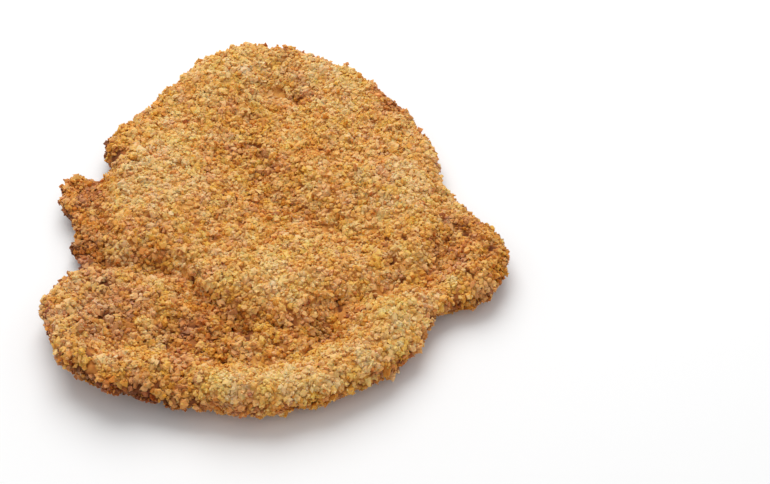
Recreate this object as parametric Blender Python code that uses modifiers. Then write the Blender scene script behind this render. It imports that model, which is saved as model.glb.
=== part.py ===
"""A crumbed, fried schnitzel: one thin, uneven slab of meat in its crust, lying on its underside.

Metres, +Z up. X runs across the piece and Y from its front rim to its back crown. The origin is
under the middle of the piece, on the surface that it lies on. The outline and the relief are given
as fractions of the half width and the half length, so the sizes below drive all of them.
"""

import bmesh
import bpy
from mathutils import Vector, noise
from mathutils.geometry import intersect_point_line

# Overall sizes of the piece
WIDTH = 0.163
LENGTH = 0.182
THICKNESS = 0.0105

# The flaps of meat that stick out at the left and the right are thinner than the body
LEFT_FLAP_THICKNESS = 0.0080
RIGHT_FLAP_THICKNESS = 0.0088

# The rim is rounded over most of its height
RIM_ROUND = 0.0046
ROUND_STEPS = 3
OUTLINE_STEPS = 4

# Size of the facets, and how far the remeshed steps are smoothed out
FACET = 0.0030
SMOOTH_PASSES = 6
LAST_SMOOTH_PASSES = 1
SMOOTH_SHARE = 0.5
WELD = 0.00001

# The underside is flat where it is pressed down, and its rim is lifted off by the frying
FLAT_UNDERSIDE = 0.0002
RIM_LIFT = 0.0034
LIFT_START = 0.62

# Slow unevenness of the hand-beaten meat
UNEVEN_HEIGHT = 0.0011
UNEVEN_SPAN = 0.021

CRUST_COLOUR = (0.56, 0.30, 0.10, 1.0)
CRUST_ROUGHNESS = 0.75

# Outline of the main body, from the back crown clockwise as seen from above
BODY_EDGE = (
    (-0.20, 0.98),
    (0.13, 0.92),
    (0.41, 0.77),
    (0.58, 0.58),
    (0.69, 0.39),
    (0.75, 0.13),
    (0.75, -0.20),
    (0.69, -0.48),
    (0.65, -0.62),
    (0.57, -0.74),
    (0.42, -0.86),
    (0.19, -0.95),
    (-0.02, -1.00),
    (-0.27, -0.97),
    (-0.53, -0.93),
    (-0.73, -0.87),
    (-0.85, -0.77),
    (-0.93, -0.63),
    (-0.965, -0.50),
    (-0.93, -0.38),
    (-0.84, -0.31),
    (-0.79, -0.15),
    (-0.78, 0.08),
    (-0.77, 0.265),
    (-0.83, 0.345),
    (-0.81, 0.42),
    (-0.745, 0.49),
    (-0.60, 0.65),
    (-0.47, 0.82),
    (-0.35, 0.92),
)

# Outline of the flap behind the notch at the left, and of the one at the right
LEFT_FLAP_EDGE = (
    (-0.70, 0.18),
    (-0.83, 0.23),
    (-0.915, 0.245),
    (-0.975, 0.19),
    (-0.98, 0.08),
    (-0.93, -0.04),
    (-0.90, -0.14),
    (-0.865, -0.25),
    (-0.72, -0.29),
    (-0.60, -0.03),
)
RIGHT_FLAP_EDGE = (
    (0.66, 0.20),
    (0.85, 0.03),
    (0.95, -0.08),
    (1.00, -0.20),
    (0.99, -0.32),
    (0.93, -0.43),
    (0.84, -0.475),
    (0.72, -0.48),
    (0.55, -0.30),
    (0.55, 0.00),
)

# Folds of the top: the line that each follows, its half width and its height, below zero for a furrow
FOLDS = (
    # the thick rim that runs round the front, in two stretches with a dip between them
    (((-0.76, -0.76), (-0.62, -0.80), (-0.48, -0.78), (-0.40, -0.80)), 0.0066, 0.0032),
    (((-0.27, -0.87), (-0.02, -0.90), (0.18, -0.86), (0.38, -0.75), (0.58, -0.47)), 0.0072, 0.0042),
    (((-0.37, -0.81), (-0.33, -0.92)), 0.0046, -0.0036),
    # the trough behind that rim, with the hollows further in
    (((-0.64, -0.70), (-0.39, -0.68), (-0.09, -0.76), (0.07, -0.73), (0.26, -0.58)), 0.0056, -0.0030),
    (((-0.36, -0.58), (-0.20, -0.61), (-0.07, -0.55)), 0.0050, -0.0024),
    (((0.20, -0.58), (0.27, -0.46), (0.42, -0.41), (0.53, -0.39), (0.66, -0.37)), 0.0046, -0.0034),
    # the crease that runs in from the notch at the left
    (((-0.86, -0.27), (-0.73, -0.26), (-0.44, -0.30), (-0.27, -0.47), (-0.16, -0.54)), 0.0044, -0.0046),
    # the long shallow valley down the middle
    (((0.06, 0.72), (-0.13, 0.48), (-0.20, 0.28), (-0.06, 0.11), (0.36, -0.12)), 0.0090, -0.0036),
    (((-0.02, 0.70), (0.10, 0.70)), 0.0050, -0.0018),
    # the swell between the crease and the valley, and the one beside the right flap
    (((-0.20, -0.35), (-0.02, -0.39), (0.12, -0.34)), 0.0090, 0.0030),
    (((0.48, 0.24), (0.58, 0.04), (0.55, -0.20)), 0.0100, 0.0028),
    # the broad high ground behind the crease, and the lower one along the back
    (((-0.62, 0.02), (-0.58, 0.22)), 0.0180, 0.0022),
    (((-0.40, 0.70), (-0.16, 0.82), (0.24, 0.74)), 0.0110, 0.0016),
    # the steps where the body's edge stands above the left flap and the right one
    (((-0.82, 0.24), (-0.82, 0.11), (-0.80, 0.00), (-0.79, -0.20)), 0.0034, -0.0034),
    (((0.70, 0.22), (0.74, 0.00), (0.77, -0.11), (0.70, -0.28)), 0.0040, -0.0034),
    # the knob at the front of the right flap
    (((0.88, -0.30), (0.82, -0.36)), 0.0075, 0.0026),
)

HALF_WIDTH = WIDTH / 2
HALF_LENGTH = LENGTH / 2


def clear_scene():
    """Remove whatever the scene holds."""
    for thing in list(bpy.data.objects):
        bpy.data.objects.remove(thing, do_unlink=True)


def new_collection(name):
    """A collection of its own, linked to the scene."""
    collection = bpy.data.collections.new(name)
    bpy.context.scene.collection.children.link(collection)
    return collection


def place(point):
    """The position in metres of a point given in fractions of the half width and the half length."""
    return Vector((point[0] * HALF_WIDTH, point[1] * HALF_LENGTH, 0.0))


def lobe(name, edge, thickness, collection):
    """A slab with a rounded rim inside a closed smooth outline, standing on z = 0."""
    outline = bpy.data.curves.new(name + "_outline", "CURVE")
    outline.dimensions = "2D"
    outline.fill_mode = "BOTH"
    outline.resolution_u = OUTLINE_STEPS
    outline.bevel_depth = RIM_ROUND * thickness / THICKNESS
    outline.bevel_resolution = ROUND_STEPS
    outline.extrude = thickness / 2 - outline.bevel_depth
    outline.offset = -outline.bevel_depth
    spline = outline.splines.new("BEZIER")
    spline.bezier_points.add(len(edge) - 1)
    for knot, point in zip(spline.bezier_points, edge):
        knot.co = place(point)
        knot.handle_left_type = "AUTO"
        knot.handle_right_type = "AUTO"
    spline.use_cyclic_u = True
    drawn = bpy.data.objects.new(name + "_outline", outline)
    collection.objects.link(drawn)
    evaluated = drawn.evaluated_get(bpy.context.evaluated_depsgraph_get())
    mesh = bpy.data.meshes.new_from_object(evaluated)
    bpy.data.objects.remove(drawn, do_unlink=True)
    welded = bmesh.new()
    welded.from_mesh(mesh)
    bmesh.ops.remove_doubles(welded, verts=welded.verts, dist=WELD)
    bmesh.ops.translate(welded, verts=welded.verts, vec=(0.0, 0.0, thickness / 2))
    bmesh.ops.recalc_face_normals(welded, faces=welded.faces)
    welded.to_mesh(mesh)
    welded.free()
    slab = bpy.data.objects.new(name, mesh)
    collection.objects.link(slab)
    return slab


def join_and_remesh(body, flaps):
    """Grow the flaps into the body and give the whole an even mesh."""
    for flap in flaps:
        flap.hide_render = True
        flap.display_type = "WIRE"
        union = body.modifiers.new("join_" + flap.name, "BOOLEAN")
        union.operation = "UNION"
        union.solver = "EXACT"
        union.object = flap
    remesh = body.modifiers.new("even_mesh", "REMESH")
    remesh.mode = "VOXEL"
    remesh.voxel_size = FACET
    evaluated = body.evaluated_get(bpy.context.evaluated_depsgraph_get())
    mesh = bpy.data.meshes.new_from_object(evaluated)
    body.modifiers.clear()
    body.data = mesh


def distance_to_line(point, line):
    """Shortest distance in plan from a point to a line of straight stretches."""
    nearest = []
    for start, end in zip(line, line[1:]):
        foot, share = intersect_point_line(point, start, end)
        foot = start.lerp(end, min(max(share, 0.0), 1.0))
        nearest.append((point - foot).length)
    return min(nearest)


def bell(distance, half_width):
    """One at the middle of a fold, a half at its half width, and nothing far away."""
    return 0.5 ** ((distance / half_width) ** 2)


def relief(point):
    """Height that the folds and the uneven meat add at a point of the top."""
    height = UNEVEN_HEIGHT * noise.noise(point / UNEVEN_SPAN)
    for line, half_width, rise in FOLDS:
        height += rise * bell(distance_to_line(point, [place(p) for p in line]), half_width)
    return height


def lift(point):
    """Height by which the rim stands off the surface below; the middle lies on it."""
    reach = Vector((point.x / HALF_WIDTH, point.y / HALF_LENGTH, 0.0)).length
    share = max(reach - LIFT_START, 0.0) / (1.0 - LIFT_START)
    return RIM_LIFT * share * share


def smooth(shape, passes):
    """Take the steps off a mesh by moving each vertex towards its neighbours."""
    for _ in range(passes):
        bmesh.ops.smooth_vert(
            shape, verts=shape.verts, factor=SMOOTH_SHARE, use_axis_x=True, use_axis_y=True, use_axis_z=True
        )


def form(body):
    """Smooth the mesh, raise the folds on its top, lift its rim and flatten its underside."""
    shape = bmesh.new()
    shape.from_mesh(body.data)
    smooth(shape, SMOOTH_PASSES)
    for vertex in shape.verts:
        plan = Vector((vertex.co.x, vertex.co.y, 0.0))
        top_share = min(max(vertex.co.z / THICKNESS, 0.0), 1.0)
        vertex.co.z += top_share * relief(plan) + lift(plan)
    smooth(shape, LAST_SMOOTH_PASSES)
    lowest = min(vertex.co.z for vertex in shape.verts)
    for vertex in shape.verts:
        vertex.co.z -= lowest
        if vertex.co.z < FLAT_UNDERSIDE:
            vertex.co.z = 0.0
    shape.to_mesh(body.data)
    shape.free()


def fit_to_size(body):
    """Centre the piece over the origin and give it its exact width and length."""
    xs = [vertex.co.x for vertex in body.data.vertices]
    ys = [vertex.co.y for vertex in body.data.vertices]
    middle = Vector(((min(xs) + max(xs)) / 2, (min(ys) + max(ys)) / 2, 0.0))
    across = WIDTH / (max(xs) - min(xs))
    along = LENGTH / (max(ys) - min(ys))
    for vertex in body.data.vertices:
        moved = vertex.co - middle
        vertex.co = Vector((moved.x * across, moved.y * along, moved.z))


def crust_material():
    """Golden brown fried crumbs: matt and rough."""
    material = bpy.data.materials.new("fried_crust")
    material.use_nodes = True
    shader = material.node_tree.nodes["Principled BSDF"]
    shader.inputs["Base Color"].default_value = CRUST_COLOUR
    shader.inputs["Roughness"].default_value = CRUST_ROUGHNESS
    shader.inputs["Metallic"].default_value = 0.0
    return material


def build():
    """The schnitzel, as one solid."""
    clear_scene()
    pieces = new_collection("schnitzel")
    helpers = new_collection("flaps_to_join")
    body = lobe("schnitzel", BODY_EDGE, THICKNESS, pieces)
    flaps = [
        lobe("left_flap", LEFT_FLAP_EDGE, LEFT_FLAP_THICKNESS, helpers),
        lobe("right_flap", RIGHT_FLAP_EDGE, RIGHT_FLAP_THICKNESS, helpers),
    ]
    join_and_remesh(body, flaps)
    form(body)
    fit_to_size(body)
    body.data.materials.clear()
    body.data.materials.append(crust_material())
    body.data.shade_smooth()


build()
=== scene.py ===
import math

import bmesh
import bpy
import numpy as np
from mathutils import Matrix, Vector, noise
from mathutils.kdtree import KDTree


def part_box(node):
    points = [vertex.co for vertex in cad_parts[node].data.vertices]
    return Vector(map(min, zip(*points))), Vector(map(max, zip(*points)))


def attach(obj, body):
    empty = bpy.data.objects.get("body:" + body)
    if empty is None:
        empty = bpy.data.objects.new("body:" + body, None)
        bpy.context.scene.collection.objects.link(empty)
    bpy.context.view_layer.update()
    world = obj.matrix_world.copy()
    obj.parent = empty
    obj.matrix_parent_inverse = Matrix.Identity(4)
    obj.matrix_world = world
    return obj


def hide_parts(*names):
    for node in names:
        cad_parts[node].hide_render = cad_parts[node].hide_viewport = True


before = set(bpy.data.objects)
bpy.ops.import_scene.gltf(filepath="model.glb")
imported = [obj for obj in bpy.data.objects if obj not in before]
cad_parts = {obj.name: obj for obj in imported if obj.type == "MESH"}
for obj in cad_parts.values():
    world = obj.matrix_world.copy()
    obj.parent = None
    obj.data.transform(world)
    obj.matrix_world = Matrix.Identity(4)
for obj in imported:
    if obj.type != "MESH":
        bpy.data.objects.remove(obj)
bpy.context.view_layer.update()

# ---------------------------------------------------------------------------------------------
# The view. The schnitzel lies at the left of a wide frame and is seen from its front rim, from
# about halfway between a side view and a view from above, through a short telephoto lens.
# ---------------------------------------------------------------------------------------------

low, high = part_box("schnitzel")
middle = (low + high) / 2
width, length, _ = high - low

VIEW_ELEVATION = math.radians(47.2)
LENS = 0.085
SENSOR = 0.036
VIEW_DISTANCE = 0.661
AIM_ASIDE = 0.0378
AIM_BELOW = 0.0103
NEAREST_SEEN = 0.01

ahead = Vector((0.0, math.cos(VIEW_ELEVATION), -math.sin(VIEW_ELEVATION)))
upward = Vector((0.0, math.sin(VIEW_ELEVATION), math.cos(VIEW_ELEVATION)))
aim = middle + AIM_ASIDE * Vector((1.0, 0.0, 0.0)) - AIM_BELOW * upward

camera = bpy.data.objects.new("camera", bpy.data.cameras.new("camera"))
bpy.context.scene.collection.objects.link(camera)
camera.data.lens = 1000 * LENS
camera.data.sensor_width = 1000 * SENSOR
camera.data.clip_start = NEAREST_SEEN
camera.location = aim - VIEW_DISTANCE * ahead
camera.rotation_euler = ahead.to_track_quat("-Z", "Y").to_euler()
bpy.context.scene.camera = camera

# ---------------------------------------------------------------------------------------------
# The skin: egg and flour batter with the finest crumbs pressed into it, fried hard round the
# meat. It is a closed sheet that follows the slab, and it shows between the crumbs as the
# darkest and most toasted part of the crust, its colour there partly painted shade.
# ---------------------------------------------------------------------------------------------

WELD = 0.00001
SKIN_GRAIN = 0.00085
SKIN_DEPTH = 0.0010
UNDERSIDE_GAP = 0.0007
SMOOTHINGS = 2
SMOOTH_SHARE = 0.5

# The lumps of the crust: how far across each kind is and how high it stands. They stand highest
# where the crust has fried brown and broken open.
LUMPS = ((0.0110, 0.00120), (0.0055, 0.00130), (0.0030, 0.00090), (0.0014, 0.00030))
CLOSE_LUMPS = 0.64
ROUGH_LUMPS = 0.22

# Creases where the meat has folded and hollows where the crust has sunk in: the line of each in
# shares of the half width and the half length from the middle, its reach to either side, its
# depth, and how much darker than the rest it is, partly browner and partly painted shade in the crease.
FURROWS = (
    (
        ((-0.86, -0.27), (-0.73, -0.26), (-0.56, -0.28), (-0.44, -0.31), (-0.27, -0.47), (-0.16, -0.54)),
        0.0030,
        0.0014,
        0.12,
    ),
    (
        ((-0.64, -0.70), (-0.39, -0.68), (-0.24, -0.73), (-0.09, -0.77), (0.07, -0.73), (0.20, -0.64)),
        0.0030,
        0.0010,
        0.12,
    ),
    (((-0.36, -0.58), (-0.20, -0.61), (-0.07, -0.55), (0.07, -0.60), (0.21, -0.58)), 0.0036, 0.0010, 0.12),
    (((0.27, -0.46), (0.42, -0.41), (0.53, -0.39), (0.66, -0.37)), 0.0024, 0.0012, 0.10),
    (((0.04, 0.06), (0.13, 0.03), (0.24, -0.06), (0.35, -0.12)), 0.0034, 0.0008, 0.08),
    (((0.66, 0.26), (0.70, 0.06), (0.76, -0.08), (0.74, -0.22), (0.66, -0.32)), 0.0026, 0.0010, 0.10),
    (((-0.82, 0.24), (-0.82, 0.11), (-0.80, 0.00), (-0.79, -0.20)), 0.0026, 0.0012, 0.14),
    (((-0.37, -0.81), (-0.33, -0.94)), 0.0032, 0.0010, 0.14),
)


def lumpiness(place):
    """Height of the crust's lumps at a place: slow swells with finer and finer clumps on them."""
    return sum(rise * noise.noise(place / span) for span, rise in LUMPS)


def nearness(places, line, reach):
    """1 on a line that runs over the top, a half at its reach to either side, and nothing far away."""
    points = np.array(line) * (width / 2, length / 2) + (middle.x, middle.y)
    nearest = np.full(len(places), np.inf)
    for start, end in zip(points, points[1:]):
        along = end - start
        share = np.clip((places[:, :2] - start) @ along / (along @ along), 0.0, 1.0)
        foot = start + share[:, None] * along
        nearest = np.minimum(nearest, np.linalg.norm(places[:, :2] - foot, axis=1))
    return 0.5 ** ((nearest / reach) ** 2)


# How brown each place has fried, with painted shade added in: 0 is pale straw and 1 is dark brown. It
# starts from one level and differs in slow and fine patches, each kind with how far across it is and how
# much it differs.
# The steep sides and the furrows are darker: partly browner, as they lie closest to the hot fat, and partly
# painted shade on the sides that turn from the light and in the creases.
BROWN_START = 0.39
BROWN_SPANS = ((0.0170, 0.09), (0.0062, 0.10), (0.0026, 0.09))
BROWN_ASIDE = 31.0
BROWN_ALONG = 17.0
SIDE_BROWN_AND_SHADE = 0.36
FURROW_BROWN_AND_SHADE_REACH = 1.4

# Other patches, each kind of which starts from a number of its own
PATCH_ALONG = 1.7
PATCH_UP = 0.4

# Where the crust turns from pale and close to brown and broken open
ROUGH_FROM = 0.28
ROUGH_OVER = 0.26

# Pits where crumbs have come away and blisters of bare batter. A patch of the surface that goes
# past the start has one, fully so when it goes past it by the rest.
PIT_SPAN = 0.0052
PIT_PATCHES = 7.3
PIT_START = 0.36
PIT_REST = 0.14
PIT_DEPTH = 0.0012
# How much darker a pit is: partly the bare batter, partly painted shade in the hollow.
PIT_DARKER_AND_SHADED = 0.45
BLISTER_SPAN = 0.0064
BLISTER_PATCHES = 2.9
BLISTER_START = 0.48
BLISTER_REST = 0.10
BLISTER_RISE = 0.0006

# Spots that have caught, and below zero those that have stayed pale; the dark spots on the low left flap
# and on the front wall are partly painted shade. The place of each in shares of the half width and the half
# length from the middle, its reach in metres and its strength
BROWN_AND_SHADE_SPOTS = (
    # On the low left flap, which turns from the light: partly painted shade
    (-0.92, 0.08, 0.0120, 0.28),
    (-0.86, -0.16, 0.0080, 0.28),
    (-0.84, 0.36, 0.0065, 0.30),
    (0.90, -0.16, 0.0140, 0.14),
    (0.80, -0.02, 0.0060, 0.14),
    (-0.66, -0.59, 0.0060, 0.14),
    (-0.10, -0.66, 0.0180, 0.04),
    (0.22, -0.54, 0.0100, 0.06),
    (-0.36, -0.59, 0.0080, 0.14),
    # On the front wall under the rim, which faces away from the light: partly painted shade
    (-0.62, -0.93, 0.0100, 0.22),
    (-0.45, -0.96, 0.0090, 0.22),
    (-0.80, -0.86, 0.0080, 0.16),
    (0.04, 0.71, 0.0055, 0.20),
    (-0.06, 0.56, 0.0055, 0.14),
    (-0.62, -0.42, 0.0180, 0.09),
    (-0.62, -0.12, 0.0110, 0.12),
    (-0.10, 0.16, 0.0180, 0.05),
    (0.20, 0.62, 0.0150, -0.08),
    (0.52, 0.64, 0.0070, 0.24),
    (-0.16, 0.34, 0.0120, 0.10),
    (-0.60, 0.12, 0.0170, -0.17),
    (-0.50, 0.40, 0.0120, -0.15),
    (-0.30, 0.82, 0.0140, -0.15),
    (0.14, 0.86, 0.0120, -0.15),
    (-0.02, -0.37, 0.0120, -0.18),
    (0.62, 0.10, 0.0130, -0.20),
    (0.10, -0.91, 0.0130, -0.20),
    (-0.18, -0.91, 0.0100, -0.18),
    (0.36, -0.80, 0.0100, -0.14),
    (0.52, -0.60, 0.0120, -0.14),
    (-0.55, -0.80, 0.0090, -0.10),
    (-0.80, -0.52, 0.0150, 0.09),
)


def spotted(places, spots):
    """The sum of soft round spots: each with its place, its reach and its strength at the centre."""
    total = np.zeros(len(places))
    for across, along, reach, strength in spots:
        spot = np.array((middle.x + across * width / 2, middle.y + along * length / 2))
        distance = np.linalg.norm(places[:, :2] - spot, axis=1)
        total += strength * np.exp(-((distance / reach) ** 2))
    return total


def browning_and_shade(places, normals):
    """How brown the crust is at each place, from its patches, the sides, the furrows and the spots, with
    painted shade among them.
    """
    brown_and_shade = np.full(len(places), BROWN_START)
    for span, depth in BROWN_SPANS:
        shift = Vector((span * BROWN_ASIDE, span * BROWN_ALONG, 0.0))
        brown_and_shade += depth * np.array([noise.noise((Vector(p) + shift) / span) for p in places])
    # Steeper faces are darker: partly browning, partly painted shade where they turn from the light.
    level = np.clip(normals[:, 2], 0.0, 1.0)
    brown_and_shade += SIDE_BROWN_AND_SHADE * (1.0 - level) ** 2
    # In the furrows the crust is darker: partly browner, partly painted shade in the creases.
    brown_and_shade += level * sum(
        furrow_brown_and_shade * nearness(places, line, FURROW_BROWN_AND_SHADE_REACH * reach)
        for line, reach, depth, furrow_brown_and_shade in FURROWS
    )
    return brown_and_shade + spotted(places, BROWN_AND_SHADE_SPOTS)


def patches(places, span, start):
    """Slow random patches over the surface, from -1 to 1, about this far across."""
    shift = Vector((start, PATCH_ALONG * start, PATCH_UP))
    return np.array([noise.noise(Vector(p) / span + shift) for p in places])


def rough_share(brown_and_shade):
    """0 where the crust is pale and close, 1 where it has fried brown and broken open."""
    return np.clip((brown_and_shade - ROUGH_FROM) / ROUGH_OVER, 0.0, 1.0)


def pits(places, brown_and_shade):
    """Small dark hollows where crumbs have come away, in the browner parts of the crust."""
    dips = -patches(places, PIT_SPAN, PIT_PATCHES)
    return np.clip((dips - PIT_START) / PIT_REST, 0.0, 1.0) * rough_share(brown_and_shade)


def blisters(places, brown_and_shade):
    """Smooth spots where the batter has swelled up bare between the crumbs."""
    rises = patches(places, BLISTER_SPAN, BLISTER_PATCHES)
    return np.clip((rises - BLISTER_START) / BLISTER_REST, 0.0, 1.0) * rough_share(brown_and_shade)


def link(mesh, name):
    """An object at the origin for a finished mesh."""
    piece = bpy.data.objects.new(name, mesh)
    bpy.context.scene.collection.objects.link(piece)
    return piece


def even_copy(node, grain):
    """A copy of a solid's surface as an even closed mesh of this grain."""
    welded = bmesh.new()
    welded.from_mesh(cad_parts[node].data)
    bmesh.ops.remove_doubles(welded, verts=welded.verts, dist=WELD)
    bmesh.ops.recalc_face_normals(welded, faces=welded.faces)
    rough = bpy.data.meshes.new("rough")
    welded.to_mesh(rough)
    welded.free()
    holder = link(rough, "rough")
    remesh = holder.modifiers.new("even", "REMESH")
    remesh.mode = "VOXEL"
    remesh.voxel_size = grain
    seen = holder.evaluated_get(bpy.context.evaluated_depsgraph_get())
    mesh = bpy.data.meshes.new_from_object(seen)
    bpy.data.objects.remove(holder)
    bpy.data.meshes.remove(rough)
    return mesh


skin_mesh = even_copy("schnitzel", SKIN_GRAIN)
skin_mesh.name = "crust_skin"
shape = bmesh.new()
shape.from_mesh(skin_mesh)
for _ in range(SMOOTHINGS):
    bmesh.ops.smooth_vert(
        shape, verts=shape.verts, factor=SMOOTH_SHARE, use_axis_x=True, use_axis_y=True, use_axis_z=True
    )
shape.normal_update()
skin_places = np.array([vertex.co[:] for vertex in shape.verts])
skin_normals = np.array([vertex.normal[:] for vertex in shape.verts])
sunk = sum(depth * nearness(skin_places, line, reach) for line, reach, depth, furrow_brown_and_shade in FURROWS)
skin_brown_and_shade = browning_and_shade(skin_places, skin_normals)
skin_pits = pits(skin_places, skin_brown_and_shade)
skin_blisters = blisters(skin_places, skin_brown_and_shade)
sunk += PIT_DEPTH * skin_pits - BLISTER_RISE * skin_blisters
swells = CLOSE_LUMPS + ROUGH_LUMPS * rough_share(skin_brown_and_shade)
for vertex, furrow, swell in zip(shape.verts, sunk.tolist(), swells.tolist()):
    furrow *= max(vertex.normal.z, 0.0)
    vertex.co += (lumpiness(vertex.co) * swell - SKIN_DEPTH - furrow) * vertex.normal
    vertex.co.z = max(vertex.co.z, UNDERSIDE_GAP)
shape.normal_update()
shape.to_mesh(skin_mesh)
shape.free()
skin = link(skin_mesh, "crust_skin")


class Wire:
    """A shader value on its way from node to node, with the arithmetic that the colours need."""

    def __init__(self, tree, socket):
        self.tree = tree
        self.socket = socket

    def node(self, kind, settings=None, out=0, **values):
        """Another node in the same tree: its settings, then the values or wires of its sockets."""
        made = self.tree.nodes.new(kind)
        for name, value in (settings or {}).items():
            setattr(made, name, value)
        for name, value in values.items():
            numbered = name[1:].isdigit()
            socket = made.inputs[int(name[1:]) if numbered else name.replace("_", " ")]
            if isinstance(value, Wire):
                self.tree.links.new(value.socket, socket)
            else:
                socket.default_value = value
        return Wire(self.tree, made.outputs[out])

    def maths(self, operation, first, second):
        """The node for a sum, a difference or a product."""
        return self.node("ShaderNodeMath", {"operation": operation}, i0=first, i1=second)

    def __add__(self, other):
        return self.maths("ADD", self, other)

    def __radd__(self, other):
        return self.maths("ADD", other, self)

    def __sub__(self, other):
        return self.maths("SUBTRACT", self, other)

    def __rsub__(self, other):
        return self.maths("SUBTRACT", other, self)

    def __mul__(self, other):
        return self.maths("MULTIPLY", self, other)

    def __rmul__(self, other):
        return self.maths("MULTIPLY", other, self)


def store(mesh, name, values):
    """Keep one number for each vertex of a mesh under a name that a material can read."""
    attribute = mesh.attributes.new(name, "FLOAT", "POINT")
    attribute.data.foreach_set("value", np.asarray(values, np.float32))


def keep_map(mesh, spots):
    """Give a piece the flat layout that its colours are kept on."""
    layer = mesh.uv_layers.new(name="OFBake")
    layer.data.foreach_set("uv", np.asarray(spots, np.float32).ravel())


def numbers(items, name, across):
    """A property of mesh items as rows of an array."""
    found = np.empty(len(items) * across, np.float32)
    items.foreach_get(name, found)
    return found.reshape(-1, across).astype(np.float64)


# The bare batter fries darker than the crumbs on it, most of all where it has caught, and a
# blister stays paler than the batter round it. Between the crumbs the extra darkness is partly painted
# shade.
SKIN_DARKER_AND_SHADED = 0.14
SKIN_CAUGHT = 0.55
BLISTER_PALER = 0.4

skin_places = numbers(skin_mesh.vertices, "co", 3)
skin_normals = numbers(skin_mesh.vertices, "normal", 3)
# The batter is darker than the crumbs: partly its own fried colour, partly painted shade between the
# crumbs.
skin_darker_and_shaded = SKIN_DARKER_AND_SHADED + SKIN_CAUGHT * np.maximum(skin_brown_and_shade - BROWN_START, 0.0)
skin_darker_and_shaded *= 1.0 - BLISTER_PALER * skin_blisters
# Darker still in the pits: partly bare batter, partly painted shade in the hollows.
store(skin_mesh, "brown_and_shade", skin_brown_and_shade + skin_darker_and_shaded + PIT_DARKER_AND_SHADED * skin_pits)
store(skin_mesh, "tint", np.zeros(len(skin_places)))
store(skin_mesh, "redder", np.zeros(len(skin_places)))

# The colour of the crust as it browns, and how its fat-soaked surface takes the light: light goes
# a little way in, red farthest. Fine specks vary the browning and the gloss.
BROWNING_STOPS = (
    (0.00, (0.85, 0.610, 0.290, 1.0)),
    (0.22, (0.83, 0.530, 0.190, 1.0)),
    (0.45, (0.77, 0.400, 0.096, 1.0)),
    (0.65, (0.58, 0.235, 0.048, 1.0)),
    (0.85, (0.36, 0.115, 0.022, 1.0)),
    (1.00, (0.19, 0.054, 0.013, 1.0)),
)
SHINE = 0.20
GLOW = 0.55
GLOW_COLOURS = (1.0, 0.65, 0.35)
GLOW_DEPTH = 0.0013
SPECK_BROWN = 0.07
SPECK_GLOSS = 0.3
SPECK_DETAIL = 3.0
SPECK_COARSENESS = 0.6
BATTER_SPECK = 700.0
BATTER_ROUGHNESS = 0.75


def fried_material(name, speck, roughness):
    """Fried crust: straw to brown by how much it has fried and by the painted shade added to that, darker
    and rougher in fine specks.
    """
    material = bpy.data.materials.new(name)
    material.use_nodes = True
    tree = material.node_tree
    shader = tree.nodes["Principled BSDF"]
    shader.inputs["Specular IOR Level"].default_value = SHINE
    shader.inputs["Subsurface Weight"].default_value = GLOW
    shader.inputs["Subsurface Radius"].default_value = GLOW_COLOURS
    shader.inputs["Subsurface Scale"].default_value = GLOW_DEPTH
    start = Wire(tree, None)
    brown_and_shade = start.node("ShaderNodeAttribute", {"attribute_name": "brown_and_shade"}, out=2)
    tint = start.node("ShaderNodeAttribute", {"attribute_name": "tint"}, out=2)
    places = start.node("ShaderNodeTexCoord", out=3)
    specks = start.node(
        "ShaderNodeTexNoise", Vector=places, Scale=speck, Detail=SPECK_DETAIL, Roughness=SPECK_COARSENESS
    )
    level = brown_and_shade + (specks - 0.5) * SPECK_BROWN
    ramp = tree.nodes.new("ShaderNodeValToRGB")
    while len(ramp.color_ramp.elements) < len(BROWNING_STOPS):
        ramp.color_ramp.elements.new(0.5)
    for stop, (at, colour) in zip(ramp.color_ramp.elements, BROWNING_STOPS):
        stop.position = at
        stop.color = colour
    tree.links.new(level.socket, ramp.inputs["Fac"])
    fried = Wire(tree, ramp.outputs["Color"])
    redder = start.node("ShaderNodeAttribute", {"attribute_name": "redder"}, out=2)
    shaded = start.node("ShaderNodeHueSaturation", Hue=0.5 - redder, Saturation=tint + 1.0, Color=fried)
    tree.links.new(shaded.socket, shader.inputs["Base Color"])
    gloss = roughness + (specks - 0.5) * SPECK_GLOSS
    tree.links.new(gloss.socket, shader.inputs["Roughness"])
    return material


# The skin's flat layout: the upper side in the left half, the underside in the right half, both
# seen from above, with the steep rim spread outward so that it keeps some width.
RIM_SPREAD = 0.8
MAP_MARGIN = 0.01
corner_places = skin_places[numbers(skin_mesh.loops, "vertex_index", 1).astype(int).ravel()]
upper_faces = numbers(skin_mesh.polygons, "normal", 3)[:, 2] > 0.0
faces_up = np.repeat(upper_faces, [len(face.vertices) for face in skin_mesh.polygons])
corner_heights = corner_places[:, 2]
depth_below = np.where(faces_up, corner_heights.max() - corner_heights, corner_heights)
outward = corner_places[:, :2] - np.array((middle.x, middle.y))
outward /= np.maximum(np.linalg.norm(outward, axis=1), WELD)[:, None]
spots = corner_places[:, :2] + RIM_SPREAD * depth_below[:, None] * outward
spots = (spots - spots.min(0)) / np.ptp(spots, axis=0)
spots = MAP_MARGIN + (1.0 - 2.0 * MAP_MARGIN) * spots
spots[:, 0] = (spots[:, 0] + np.where(faces_up, 0.0, 1.0)) / 2.0
keep_map(skin_mesh, spots)

skin_mesh.materials.clear()
skin_mesh.materials.append(fried_material("fried_batter", BATTER_SPECK, BATTER_ROUGHNESS))
skin_mesh.shade_smooth()
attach(skin, "root")
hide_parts("schnitzel")

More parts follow.
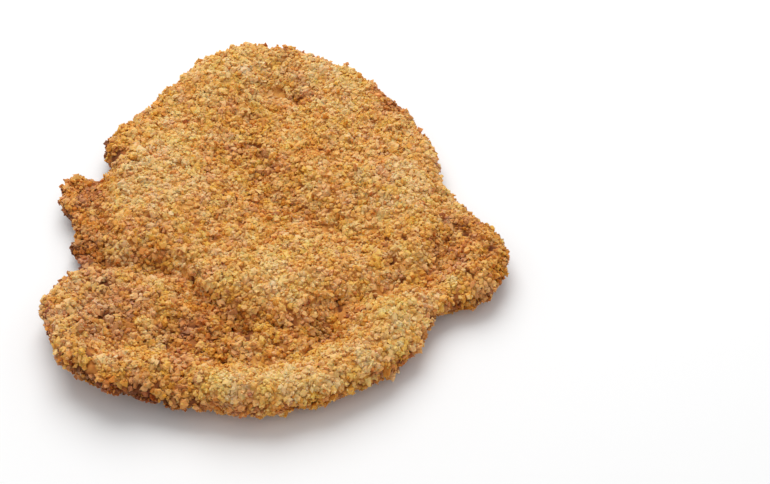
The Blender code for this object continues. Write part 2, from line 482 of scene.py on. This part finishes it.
# ---------------------------------------------------------------------------------------------
# The crumbs: dry breadcrumbs of every size up to a few millimetres, pressed on by hand so that
# they overlap and stand out at all angles, then fried. A layer of coarse ones lies on the batter,
# and fine ones fill in between and lie on them. Each layer is a few pieces, from straw to brown.
# ---------------------------------------------------------------------------------------------

SEED = 11
KINDS_OF_BIT = 20
FLOOR_CLEARANCE = 0.00015
SOFT_EDGE = math.radians(34.0)
CRUMB_ROUGHNESS = 0.55

# The shape of a broken bit: how many hollows there are across it, how deep they and its knocks
# are, and the least and most of its three sizes
HOLLOWS_ACROSS = 2.2
HOLLOW_DEPTH = 0.75
KNOCK_DEPTH = 0.30
BIT_SIZES = ((1.0, 1.35), (0.80, 1.10), (0.60, 0.95))
VARIETY = 50.0

# Crumbs catch together in clumps of about this size, which stand up and are a little paler: partly paler
# crumbs, partly painted light on the raised clumps
CLUMP_SPAN = 0.0050
CLUMP_PATCHES = 3.1
CLUMP_PALER_AND_LIT = 0.07

# Painted shade and light on each crumb: darker down where it meets the batter, paler up where it stands
# clear
HEIGHT_SHADE = 0.10
CLEAR_HEIGHT = 0.0010
HEIGHT_SHADE_LEAST = -0.6
HEIGHT_SHADE_MOST = 1.2

# Single crumbs differ: by this much as a rule, while a few stay pale and a few have caught
BROWN_SPREAD = 0.025
PALE_SHARE = 0.04
PALE_BY = 0.12
CAUGHT_SHARE = 0.05
CAUGHT_BY = 0.15

# How strong the colour is: a level, patches of a few sizes, single crumbs and a few greyer spots
TINT_LEVEL = -0.01
TINT_SPREAD = 0.025
TINT_LEAST = -0.24
TINT_MOST = 0.05
GREY_SPOTS = (
    (-0.80, -0.52, 0.0200, -0.10),
    (-0.60, 0.15, 0.0180, -0.05),
    (0.62, 0.10, 0.0140, -0.04),
    (0.04, 0.86, 0.0200, -0.03),
)
TINT_SPANS = ((0.0022, 4.3, 0.12), (0.0042, 5.1, 0.11), (0.0090, 6.7, 0.06))

# How far the hue leans to red-brown: a level and patches of two sizes
RED_LEVEL = 0.002
RED_SPANS = ((0.0030, 8.9, 0.011), (0.0075, 9.7, 0.012))

# Each crumb has a square of its piece's flat layout: the margin inside the square, the share that
# the crumb fills, and a slant that turns the crumbs different ways on it
CELL_MARGIN = 0.15
CELL_FILLED = 0.70
SIDEWAYS = (0.36, 0.48, 0.80)

random = np.random.default_rng(SEED)


def turns(count):
    """Random rotations, evenly spread over every direction."""
    q = random.normal(size=(count, 4))
    w, x, y, z = (q / np.linalg.norm(q, axis=1)[:, None]).T
    rows = (
        (1 - 2 * (y * y + z * z), 2 * (x * y - w * z), 2 * (x * z + w * y)),
        (2 * (x * y + w * z), 1 - 2 * (x * x + z * z), 2 * (y * z - w * x)),
        (2 * (x * z - w * y), 2 * (y * z + w * x), 1 - 2 * (x * x + y * y)),
    )
    return np.moveaxis(np.array(rows), 2, 0)


def broken_bit(segments, rings):
    """A broken bit of dry bread about one across: a ball knocked into corners, flats and hollows."""
    bit = bmesh.new()
    bmesh.ops.create_uvsphere(bit, u_segments=segments, v_segments=rings, radius=0.5)
    seed = Vector(random.uniform(-VARIETY, VARIETY, 3))
    for vertex in bit.verts:
        hollow = noise.noise(HOLLOWS_ACROSS * vertex.co + seed)
        vertex.co *= 1.0 + HOLLOW_DEPTH * hollow + random.uniform(-KNOCK_DEPTH, KNOCK_DEPTH)
    stretch = [random.uniform(least, most) for least, most in BIT_SIZES]
    bmesh.ops.scale(bit, verts=bit.verts, vec=stretch)
    bmesh.ops.triangulate(bit, faces=bit.faces)
    bmesh.ops.recalc_face_normals(bit, faces=bit.faces)
    bit.verts.index_update()
    places = np.array([vertex.co[:] for vertex in bit.verts])
    faces = np.array([[vertex.index for vertex in face.verts] for face in bit.faces])
    bit.free()
    # Each triangle starts at its lowest corner and they are sorted, so a bit is the same every time
    lowest = faces.argmin(axis=1)
    faces = np.take_along_axis(faces, (lowest[:, None] + np.arange(3)) % 3, axis=1)
    return places, faces[np.lexsort(faces.T[::-1])]


def scattered(corners, directions, spacing, tries):
    """Places on triangles, none closer to another than the spacing, and the surface's direction there."""
    across = np.cross(corners[:, 1] - corners[:, 0], corners[:, 2] - corners[:, 0])
    area = np.linalg.norm(across, axis=1)
    picked = random.choice(len(corners), tries, p=area / area.sum())
    first, second = random.random((2, tries))
    fold = first + second > 1
    first[fold], second[fold] = 1 - first[fold], 1 - second[fold]
    shares = np.stack([1 - first - second, first, second], 1)
    places = (corners[picked] * shares[:, :, None]).sum(1)
    normals = (directions[picked] * shares[:, :, None]).sum(1)
    normals /= np.linalg.norm(normals, axis=1)[:, None]
    tree = KDTree(len(places))
    for index, place in enumerate(places):
        tree.insert(place, index)
    tree.balance()
    kept = np.ones(len(places), bool)
    for index, place in enumerate(places):
        if kept[index]:
            for _, other, _ in tree.find_range(place, spacing):
                if other > index:
                    kept[other] = False
    return places[kept], normals[kept]


def painted_height_shade(above):
    """How much painted shade darkens a crumb at a height above the batter; high up it is painted lighter.
    """
    share = np.clip((CLEAR_HEIGHT - above) / CLEAR_HEIGHT, HEIGHT_SHADE_LEAST, HEIGHT_SHADE_MOST)
    return HEIGHT_SHADE * share


def crumbs(places, normals, over, colours, sizes, proud, flattened, segments, rings):
    """Broken bits of bread, one at each place, turned at random, pressed flatter and partly sunk.

    Gives their corners and faces, the three colour values of each corner and its spot on the map.
    """
    bits = [broken_bit(segments, rings) for _ in range(KINDS_OF_BIT)]
    count = len(places)
    which = random.integers(KINDS_OF_BIT, size=count)
    centres = places + normals * (proud * sizes)[:, None]
    turned = turns(count)
    sideways = np.cross(normals, SIDEWAYS)
    side = math.ceil(math.sqrt(count))
    verts, faces, shades, maps = [], [], [], []
    first = 0
    start = 0
    for kind, (bit, bit_faces) in enumerate(bits):
        mine = np.flatnonzero(which == kind)
        bodies = sizes[mine, None, None] * np.einsum("nij,vj->nvi", turned[mine], bit)
        pressed = np.einsum("nvi,ni->nv", bodies, normals[mine]) * flattened
        bodies += centres[mine, None, :] - pressed[:, :, None] * normals[mine, None, :]
        verts.append(bodies.reshape(-1, 3))
        offsets = start + len(bit) * np.arange(len(mine))
        faces.append((bit_faces[None, :, :] + offsets[:, None, None]).reshape(-1, 3))
        start += len(mine) * len(bit)

        reaches = bodies - places[mine, None, :]
        rise = np.einsum("nvi,ni->nv", reaches, normals[mine])
        brown_and_shade, tint, redder = (np.repeat(values[mine], len(bit)) for values in colours)
        # Painted shade low on each crumb where it meets the batter, painted light high up where it stands
        # clear
        brown_and_shade += painted_height_shade(rise + over[mine, None]).reshape(-1)
        shades.append(np.stack([brown_and_shade, tint, redder]))

        spots = np.stack([np.einsum("nvi,ni->nv", reaches, sideways[mine]), rise], 2)
        spots = (spots - spots.min(1, keepdims=True)) / np.ptp(spots, axis=1, keepdims=True)
        cells = first + np.arange(len(mine))
        first += len(mine)
        cells = np.stack([cells % side, cells // side], 1)[:, None, :]
        maps.append(((cells + CELL_MARGIN + CELL_FILLED * spots) / side).reshape(-1, 2))
    verts = np.concatenate(verts)
    verts[:, 2] = np.maximum(verts[:, 2], FLOOR_CLEARANCE)
    return verts, np.concatenate(faces), np.concatenate(shades, axis=1), np.concatenate(maps)


def crumb_piece(name, verts, faces, shades, spots, speck):
    """One piece from the corners, faces and colours of its crumbs."""
    mesh = bpy.data.meshes.new(name)
    mesh.from_pydata(verts, [], faces)
    for attribute, values in zip(("brown_and_shade", "tint", "redder"), shades):
        store(mesh, attribute, values)
    keep_map(mesh, spots[faces.ravel()])
    mesh.materials.append(fried_material(name.replace("crumbs", "crumb"), speck, CRUMB_ROUGHNESS))
    mesh.shade_smooth()
    mesh.set_sharp_from_angle(angle=SOFT_EDGE)
    return link(mesh, name)


def uneven(brown_and_shade):
    """The browning of single crumbs: each differs a little, a few stay pale, a few have caught."""
    luck = random.random(len(brown_and_shade))
    brown_and_shade = brown_and_shade + random.normal(0.0, BROWN_SPREAD, len(brown_and_shade))
    return brown_and_shade - PALE_BY * (luck < PALE_SHARE) + CAUGHT_BY * (luck > 1.0 - CAUGHT_SHARE)


def tinting(places):
    """How much stronger or greyer the colour is: patches of a few millimetres, and single crumbs."""
    tint = TINT_LEVEL + sum(depth * patches(places, span, start) for span, start, depth in TINT_SPANS)
    tint += spotted(places, GREY_SPOTS)
    return np.clip(tint + random.normal(0.0, TINT_SPREAD, len(places)), TINT_LEAST, TINT_MOST)


def reddening(places):
    """How far the hue leans to red-brown, above 0, or to yellow, below it."""
    return RED_LEVEL + sum(depth * patches(places, span, start) for span, start, depth in RED_SPANS)


def crumb_layer(names, splits, where, over, sizes, proud, flattened, corners, speck):
    """The pieces of one layer of crumbs, from the palest to the brownest, and all their triangles."""
    places, normals, brown_and_shade, clump = where
    tint = tinting(places)
    redder = reddening(places)
    # Raised clumps are paler: partly paler crumbs, partly painted light
    brown_and_shade = uneven(brown_and_shade - CLUMP_PALER_AND_LIT * clump)
    sort = np.digitize(brown_and_shade, np.quantile(brown_and_shade, splits))
    pieces, triangles = [], []
    for level, name in enumerate(names):
        mine = sort == level
        verts, faces, shades, spots = crumbs(
            places[mine],
            normals[mine],
            over[mine],
            (brown_and_shade[mine], tint[mine], redder[mine]),
            sizes[mine],
            proud[mine],
            flattened,
            *corners,
        )
        pieces.append(crumb_piece(name, verts, faces, shades, spots, speck))
        triangles.append(verts[faces])
    return pieces, np.concatenate(triangles)


def bareness(places, brown_and_shade):
    """1 in a pit or on a blister, where few crumbs hold, and 0 elsewhere."""
    return np.maximum(pits(places, brown_and_shade), blisters(places, brown_and_shade))


# The coarse layer. Its crumbs lie deep in the batter where the crust is pale, and stand up in
# clumps where it has fried brown. Some have come off the underside.
COARSE_SPACING = 0.00140
COARSE_TRIES = 140000
COARSE_BARE = 0.4
UNDERSIDE_HEIGHT = 0.0012
COME_OFF_BELOW = 0.45
COARSE_SIZE = 0.0024
COARSE_SPREAD = 0.28
CLUMP_LARGER = 0.3
COARSE_LEAST = 0.0013
COARSE_MOST = 0.0035
CLOSE_PROUD = 0.03
ROUGH_PROUD = 0.06
CLOSE_CLUMPS = 0.08
ROUGH_CLUMPS = 0.16
COARSE_FLATTENED = 0.15
COARSE_CORNERS = (6, 4)
COARSE_SPECK = 900.0
COARSE_SPLITS = (0.25, 0.50, 0.75)

skin_mesh.calc_loop_triangles()
triangles = np.empty(len(skin_mesh.loop_triangles) * 3, np.int32)
skin_mesh.loop_triangles.foreach_get("vertices", triangles)
triangles = triangles.reshape(-1, 3)
skin_corners = skin_places[triangles]
skin_directions = skin_normals[triangles]

places, normals = scattered(skin_corners, skin_directions, COARSE_SPACING, COARSE_TRIES)
brown_and_shade = browning_and_shade(places, normals)
under = (places[:, 2] < UNDERSIDE_HEIGHT) & (normals[:, 2] < 0.0)
come_off = under & (random.random(len(places)) < COME_OFF_BELOW)
chosen = ~(bareness(places, brown_and_shade) > COARSE_BARE) & ~come_off
places, normals, brown_and_shade = places[chosen], normals[chosen], brown_and_shade[chosen]
clump = patches(places, CLUMP_SPAN, CLUMP_PATCHES)
sizes = random.lognormal(math.log(COARSE_SIZE), COARSE_SPREAD, len(places)) * (1.0 + CLUMP_LARGER * clump)
rough = rough_share(brown_and_shade)
proud = CLOSE_PROUD + ROUGH_PROUD * rough + (CLOSE_CLUMPS + ROUGH_CLUMPS * rough) * clump
coarse_pieces, coarse_triangles = crumb_layer(
    ("crumbs_straw", "crumbs_golden", "crumbs_toasted", "crumbs_brown"),
    COARSE_SPLITS,
    (places, normals, brown_and_shade, clump),
    np.zeros(len(places)),
    np.clip(sizes, COARSE_LEAST, COARSE_MOST),
    proud,
    COARSE_FLATTENED,
    COARSE_CORNERS,
    COARSE_SPECK,
)

# The fine layer lies on the open faces of the coarse crumbs and on the batter between them, but
# not on the surface below. Only some of the places that it could take are filled.
FINE_SPACING = 0.00080
FINE_TRIES = 180000
FINE_BARE = 0.5
FINE_SHARE = 0.55
FINE_SIZE = 0.00118
FINE_SPREAD = 0.34
FINE_LEAST = 0.0005
FINE_MOST = 0.0024
FINE_PROUD = 0.08
FINE_FLATTENED = 0.20
FINE_CORNERS = (4, 3)
FINE_SPECK = 1100.0
FINE_SPLITS = (0.33, 0.67)
LEAST_RISE = 0.0005
LEAST_FACING = -0.2
OPEN_HEIGHT = 0.0015

below = KDTree(len(skin_places))
for index, place in enumerate(skin_places):
    below.insert(place, index)
below.balance()


def over_skin(places):
    """The height of each place over the batter, and the batter's direction below it."""
    nearest = np.array([below.find(place)[1] for place in places])
    directions = skin_normals[nearest]
    return ((places - skin_places[nearest]) * directions).sum(1), directions


facing = np.cross(
    coarse_triangles[:, 1] - coarse_triangles[:, 0], coarse_triangles[:, 2] - coarse_triangles[:, 0]
)
facing /= np.linalg.norm(facing, axis=1)[:, None]
centres = coarse_triangles.mean(axis=1)
rise, outwards = over_skin(centres)
open_air = (rise > LEAST_RISE) & ((facing * outwards).sum(1) > LEAST_FACING) & (centres[:, 2] > OPEN_HEIGHT)
corners = np.concatenate([coarse_triangles[open_air], skin_corners])
directions = np.concatenate([np.repeat(facing[open_air][:, None, :], 3, axis=1), skin_directions])

places, normals = scattered(corners, directions, FINE_SPACING, FINE_TRIES)
brown_and_shade = browning_and_shade(places, normals)
filled = (random.random(len(places)) < FINE_SHARE) & (places[:, 2] > UNDERSIDE_HEIGHT)
chosen = filled & ~(bareness(places, brown_and_shade) > FINE_BARE)
places, normals, brown_and_shade = places[chosen], normals[chosen], brown_and_shade[chosen]
sizes = random.lognormal(math.log(FINE_SIZE), FINE_SPREAD, len(places))
fine_pieces, _ = crumb_layer(
    ("fine_crumbs_straw", "fine_crumbs_golden", "fine_crumbs_brown"),
    FINE_SPLITS,
    (places, normals, brown_and_shade, patches(places, CLUMP_SPAN, CLUMP_PATCHES)),
    over_skin(places)[0],
    np.clip(sizes, FINE_LEAST, FINE_MOST),
    np.full(len(places), FINE_PROUD),
    FINE_FLATTENED,
    FINE_CORNERS,
    FINE_SPECK,
)

for piece in coarse_pieces + fine_pieces:
    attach(piece, "root")

# ---------------------------------------------------------------------------------------------
# The table and the light: a plain white surface under one broad soft light from above and
# behind, with an even white room round it.
# ---------------------------------------------------------------------------------------------

TABLE_SIZE = 6.0
TABLE_WHITE = (0.92, 0.92, 0.92, 1.0)
TABLE_ROUGHNESS = 0.9
LIGHT_ACROSS = 1.2
LIGHT_POWER = 12.5
LIGHT_PLACE = (-0.12, 0.70, 1.00)
ROOM_WHITE = (1.0, 1.0, 1.0, 1.0)
ROOM_BRIGHTNESS = 0.59

table = bmesh.new()
bmesh.ops.create_grid(table, x_segments=1, y_segments=1, size=TABLE_SIZE / 2)
table_mesh = bpy.data.meshes.new("table")
table.to_mesh(table_mesh)
table.free()
floor = link(table_mesh, "table")
white = bpy.data.materials.new("white_table")
white.use_nodes = True
white.node_tree.nodes["Principled BSDF"].inputs["Base Color"].default_value = TABLE_WHITE
white.node_tree.nodes["Principled BSDF"].inputs["Roughness"].default_value = TABLE_ROUGHNESS
table_mesh.materials.append(white)

lamp = bpy.data.objects.new("soft_light", bpy.data.lights.new("soft_light", "AREA"))
bpy.context.scene.collection.objects.link(lamp)
lamp.data.shape = "DISK"
lamp.data.size = LIGHT_ACROSS
lamp.data.energy = LIGHT_POWER
lamp.location = LIGHT_PLACE
lamp.rotation_euler = (-lamp.location).to_track_quat("-Z", "Y").to_euler()

room = bpy.data.worlds.new("white_room")
bpy.context.scene.world = room
room.use_nodes = True
room.node_tree.nodes["Background"].inputs["Color"].default_value = ROOM_WHITE
room.node_tree.nodes["Background"].inputs["Strength"].default_value = ROOM_BRIGHTNESS
bpy.context.scene.view_settings.view_transform = "Standard"
